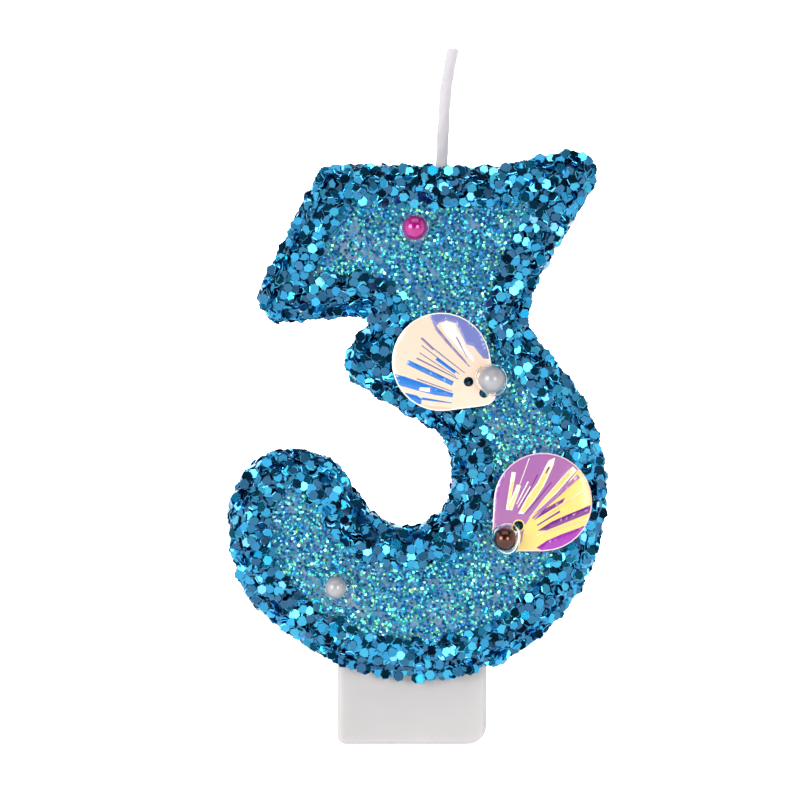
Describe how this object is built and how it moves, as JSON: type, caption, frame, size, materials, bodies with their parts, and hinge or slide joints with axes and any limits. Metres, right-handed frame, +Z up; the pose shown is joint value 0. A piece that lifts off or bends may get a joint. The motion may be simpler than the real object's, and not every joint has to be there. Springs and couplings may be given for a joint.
{
  "type": "number birthday candle",
  "caption": "Upright wax numeral three on a flat push-in foot, with a wick at the top, glitter round its edge and over its front face, and pearls and shell sequins glued on.",
  "frame": {"origin": "centre of the underside of the foot", "axes": "+Z up along the figure's height, front face looks along -Y, +X to the right as the figure is read"},
  "size_m": [0.0446, 0.0159, 0.0826],
  "materials": {
    "wax": "satin, slightly translucent",
    "wick": "waxed cotton",
    "glue": "clear gloss",
    "chunky_glitter": "metallic foil flakes",
    "fine_glitter": "fine metallic flakes in clear gel",
    "cream_film": "iridescent gloss",
    "violet_film": "iridescent gloss",
    "magenta_pearl": "pearlescent gloss",
    "white_pearl": "pearlescent gloss",
    "copper_pearl": "dark metallic pearl"
  },
  "bodies": {
    "root": {"wax_figure": "wax", "wick": "wick", "edge_glue_coat": "glue", "chunky_glitter_border": "chunky_glitter", "fine_glitter_face": "fine_glitter", "shell_sequin_upper": "cream_film", "shell_sequin_lower": "violet_film", "glue_pad_upper": "glue", "glue_pad_lower": "glue", "pearl_magenta": "magenta_pearl", "pearl_white_upper": "white_pearl", "pearl_white_lower": "white_pearl", "pearl_copper": "copper_pearl", "glue_collar_magenta": "glue", "glue_collar_white_upper": "glue", "glue_collar_white_lower": "glue", "glue_collar_copper": "glue"}
  },
  "joints": []
}
